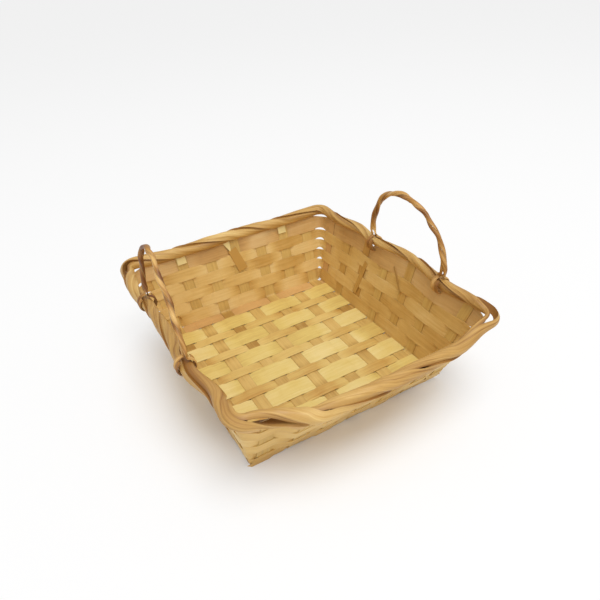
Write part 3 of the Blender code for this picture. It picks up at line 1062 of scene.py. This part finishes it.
def strip_section(parted, girth, grown, folds, splits):
    """A strip's outline round the border: across, away, shade and edge at each corner.

    It runs over the strip's outside from the rim that is tucked in to the rim that lies over
    the other strip, and back along its hollow inside.
    """
    first_angle = parted - border_tuck
    last_angle = pi - parted
    corners = []
    for row in range(border_around + 1):
        way = row / border_around
        angle = first_angle + (last_angle - first_angle) * way
        radius = (border_radius - border_thickness / 2) * girth * grown * folded(angle, folds)
        radius *= 1 - border_notch * abs(cos(angle)) ** border_notch_power
        radius += (border_over * way ** border_over_power
                   - border_under * (1 - way) ** border_under_power)
        split = max(exp(-((angle - place) / split_width) ** 2) for place in splits)
        radius -= split_depth * split
        # Painted shade near the tucked rim and in the split grooves.
        shade = -painted_tuck_shade * (1 - way) ** painted_tuck_shade_power - painted_split_shade * split
        corners.append((radius * cos(angle), radius * sin(angle), shade,
                        1 if row in (0, border_around) else 0))
    last_across, last_away = corners[-1][:2]
    first_across, first_away = corners[0][:2]
    # The hollow inside is darkened by painted shade.
    for step in range(border_inside):
        way = step / (border_inside - 1)
        across = last_across + (first_across - last_across) * way
        away = last_away + (first_away - last_away) * way
        across *= 1 - border_thickness / border_radius
        away += border_hollow * sin(pi * way)
        corners.append((across, away, painted_hollow_shade, 0))
    return corners


# Its dark edge colour paints shade lines along the strips' rims, along with wear.
cane_bamboo = bamboo_finish("cane_bamboo", (226, 192, 122), (200, 157, 86), (152, 104, 48),
                            (120, 76, 30), fibres=0.75, stains=0.7, edge_shading_and_wear=0.7, grain=0.0003,
                            coarseness=2.0)
stations = border_stations()
sideways, upwards = [round_drift(len(stations), border_wander, seed, border_waves)
                     for seed in wander_seeds]


def border_strand(number):
    """One strip of the border: its outline carried round the rim, turning about the other."""
    count = len(stations)
    crossing_tones = [maker.uniform(-border_variety, border_variety)
                      for _ in range(stake_total // 2 + 1)]
    crossing_tones[-1] = crossing_tones[0]
    swell = round_drift(count, border_swell, swell_seed + number, swell_waves)
    drifts = [round_drift(count, fold_drift, fold_seed + fold_seed_step * number + fold,
                          fold_waves) for fold in range(fold_count + 1)]
    points = []
    frames = []
    sections = []
    for index, (run, changes) in enumerate(stations):
        point, along, face, slope = ring_at(1, run)
        point, along, face, slope = settled_frame(point, along, slope)
        point = point + face * sideways[index] + slope * upwards[index]
        thinner = 0
        for place, reach, out, lift, thin in loose_parts[number]:
            loose = near(changes, place, reach)
            point = point + face * (out * loose) + slope * (lift * loose)
            thinner += thin * loose
        turn = -pi * (changes + round_the_rim(changes_ahead, changes) + number)
        away = face * cos(turn) + slope * sin(turn)
        points.append(point)
        frames.append((away, along.cross(away), tone_between(crossing_tones, max(changes, 0))))
        parted = max(width * near(changes, place, reach) for place, reach, width in partings)
        folds = [pi * fold / fold_count + drifts[fold][index] for fold in range(fold_count + 1)]
        folds[0], folds[-1] = -border_tuck, pi
        splits = (folds[first_split_fold] + drifts[0][index],
                  folds[second_split_fold] + drifts[-1][index])
        sections.append(strip_section(parted, round_the_rim(border_girths, changes),
                                      1 + swell[index] - thinner, folds, splits))
    run = run_along(points, closed=True)
    begin = maker.uniform(0, grain_run)

    def corner(column, row):
        """The point, tone and edge of a corner, and its place along and across the strip."""
        away, across, tone = frames[column % count]
        aside, outside, shade, edge = sections[column % count][row % border_rows]
        point = points[column % count] + across * aside + away * outside
        place = (run[column] + begin, border_radius * pi * row / border_around)
        return point, tone + shade, edge, place

    strip = carried_grid(f"laid_border_strand_{number}", count, border_rows, corner)
    weld_seams()
    bpy.ops.object.shade_smooth_by_angle(angle=smooth_angle)
    finished(strip, cane_bamboo, "basket", f"border_strand_{number}")


for number in (1, 2):
    border_strand(number)

# The handles: each is two thin strands of brown bamboo, wound round the border at one foot,
# twisted together over the arch and wound round the border again at the other foot.

wrap_half_width = 0.0019
wrap_gap = 0.0004
wrap_reach = 230 * pi / 180
wrap_snugness = 0.0003
snug_inner = wrap_inner - wrap_snugness
foot_fillet = 0.0018
fillet_out = clearance / 2 + foot_fillet
foot_rise = sqrt((snug_inner + foot_fillet) ** 2 - fillet_out ** 2)
foot_angle = atan2(foot_rise, fillet_out)
handle_height = 0.0605
handle_bulge = 0.003
handle_squareness = 2.3
handle_half_turns = 8
arch_kink = 0.0007
kinks_along = 9
kinks_upwards = 13
strand_half_width = 0.0021
strand_bulge = 0.0027
strand_unevenness = 0.2
bulge_waves = 14
strand_variety = 0.7
shade_waves = 12
last_seed = 9999
twist_share = 0.4
right_handle_skew = 0.005
left_handle_skew = 0.016
left_handle_lean = 6 * pi / 180
left_front_squareness = 1.05
left_handle_slimness = 0.85
left_back_leg_shade = 0.9
back_leg_start = 0.5
back_leg_fade = 0.1
wrap_steps = 30
fillet_steps = 5
arch_steps = 14
arch_samples = 800
strand_sides = 11
strand_smooth_angle = 50 * pi / 180

# Each handle's side of the basket, its middle along the border and half its span; how far its
# arch is drawn backwards and how square the front half is; how far it leans inwards, how slim
# its strands are and how much darker its back leg is.
handles = {
    "right": (1, right_centre, right_half_span, right_handle_skew, handle_squareness, 0, 1, 0),
    "left": (-1, 0, handle_half_span, left_handle_skew, left_front_squareness, left_handle_lean,
             left_handle_slimness, left_back_leg_shade),
}


def wrap_path():
    """A strand's way from its tail round the border and up: out, height and face direction."""
    path = []
    for step in range(wrap_steps):
        angle = foot_angle - (foot_angle + wrap_reach) * (1 - step / wrap_steps)
        face = (cos(angle), sin(angle))
        path.append((snug_inner * face[0], snug_inner * face[1], face))
    for step in range(fillet_steps):
        angle = foot_angle * (1 - step / fillet_steps)
        face = (cos(angle), sin(angle))
        path.append((fillet_out - foot_fillet * face[0], foot_rise - foot_fillet * face[1], face))
    return path


def arch_points(half_span, skew, front_squareness):
    """The handle's centre line as even steps, from its foot in front to its foot behind."""
    raw = []
    rise = handle_height - foot_rise
    for sample in range(arch_samples + 1):
        angle = pi * sample / arch_samples
        side = -1 if angle < pi / 2 else 1
        power = 2 / (front_squareness if side < 0 else handle_squareness)
        level = abs(sin(angle)) ** power
        bulge = handle_bulge * sin(pi * sqrt(level))
        along = half_span * abs(cos(angle)) ** power + bulge * abs(cos(angle))
        kink = arch_kink * sin(angle)
        raw.append(Vector((side * along + skew * level ** 2 + kink * sin(kinks_along * angle),
                           kink * sin(kinks_upwards * angle), foot_rise + rise * level)))
    lengths = run_along(raw)
    steps = handle_half_turns * arch_steps
    points = []
    place = 0
    for step in range(steps + 1):
        target = lengths[-1] * step / steps
        while place < arch_samples - 1 and lengths[place + 1] < target:
            place += 1
        way = (target - lengths[place]) / (lengths[place + 1] - lengths[place])
        points.append(raw[place].lerp(raw[place + 1], way))
    return points


def strand_stations(strand, side, half_span, skew, squareness):
    """Flat middle, face, across and blend from wrap to twist at each station of a strand."""
    arch = arch_points(half_span, skew, squareness)
    wrap = wrap_path()
    offset = (wrap_half_width + wrap_gap / 2) * -strand * side
    stations = []
    for out, height, face in wrap:
        flat = Vector((-half_span + offset, out * strand, height))
        stations.append((flat, Vector((0, face[0] * strand, face[1])), Vector((1, 0, 0)), 0))
    steps = len(arch) - 1
    for step, point in enumerate(arch):
        along = (arch[min(step + 1, steps)] - arch[max(step - 1, 0)]).normalized()
        turn = pi * handle_half_turns * step / steps * side
        inward = along.cross(Vector((0, 1, 0)))
        face = (Vector((0, cos(turn), 0)) + inward * sin(turn)) * strand
        blend = eased(min(step, steps - step) / (twist_share * arch_steps))
        flat = point + face * (clearance / 2) + Vector((offset * (1 - blend), 0, 0))
        stations.append((flat, face, face.cross(along), blend))
    for out, height, face in reversed(wrap):
        flat = Vector((half_span + offset, out * strand, height))
        stations.append((flat, Vector((0, face[0] * strand, face[1])), Vector((-1, 0, 0)), 0))
    return stations


def placed(point, side, centre, lean):
    """Puts a point of an upright handle on its own side of the basket, leaning inwards."""
    out = point.y * cos(lean) - point.z * sin(lean)
    height = point.y * sin(lean) + point.z * cos(lean)
    return Vector((side * (rim_half_x + out), centre + point.x, border_height + height)) + centring


def handle_strand(name, number, strand):
    """One strand of a handle: a tube of half-round sections, drawn along its way."""
    side, centre, half_span, skew, squareness, lean, slimness, back_shade = handles[name]
    stations = strand_stations(strand, side, half_span, skew, squareness)
    count = len(stations)
    rows = strand_sides + 1
    shades = drift(count, strand_variety, maker.randint(0, last_seed), shade_waves)
    for index in range(count):
        shades[index] -= back_shade * eased((index / count - back_leg_start) / back_leg_fade)
    bulges = [slimness * (1 + value) for value in
              drift(count, strand_unevenness, maker.randint(0, last_seed), bulge_waves)]
    run = run_along([station[0] for station in stations])
    begin = maker.uniform(0, grain_run)

    def corner(column, row):
        """The point, tone and edge of a corner, and its place along and round the strand."""
        row = row % rows
        flat, face, across, blend = stations[column]
        half_width = wrap_half_width
        half_width += (strand_half_width * bulges[column] - wrap_half_width) * blend
        thickness = wrap_thickness + (strand_bulge * bulges[column] - wrap_thickness) * blend
        angle = pi * row / strand_sides
        point = flat + across * (half_width * cos(angle)) + face * (thickness * sin(angle))
        edge = 1 if row in (0, strand_sides) else 0
        place = (run[column] + begin, half_width * angle)
        return placed(point, side, centre, lean), shades[column], edge, place

    piece = carried_grid(f"twisted_{name}_handle_strand_{number}", count - 1, rows, corner)
    weld_seams(cap_ends=True)
    bpy.ops.object.shade_smooth_by_angle(angle=strand_smooth_angle)
    finished(piece, brown_bamboo, f"{name}_handle", f"{name}_handle_strand_{number}")


# Its pale edge colour paints highlights along the strands' edges.
brown_bamboo = bamboo_finish("brown_bamboo", (226, 184, 112), (182, 130, 62), (118, 70, 28),
                             (224, 190, 132), fibres=0.9, stains=0.9, edge_shading_and_wear=0.75, coarseness=1.6)
for number, strand in ((1, 1), (2, -1)):
    for name in handles:
        handle_strand(name, number, strand)
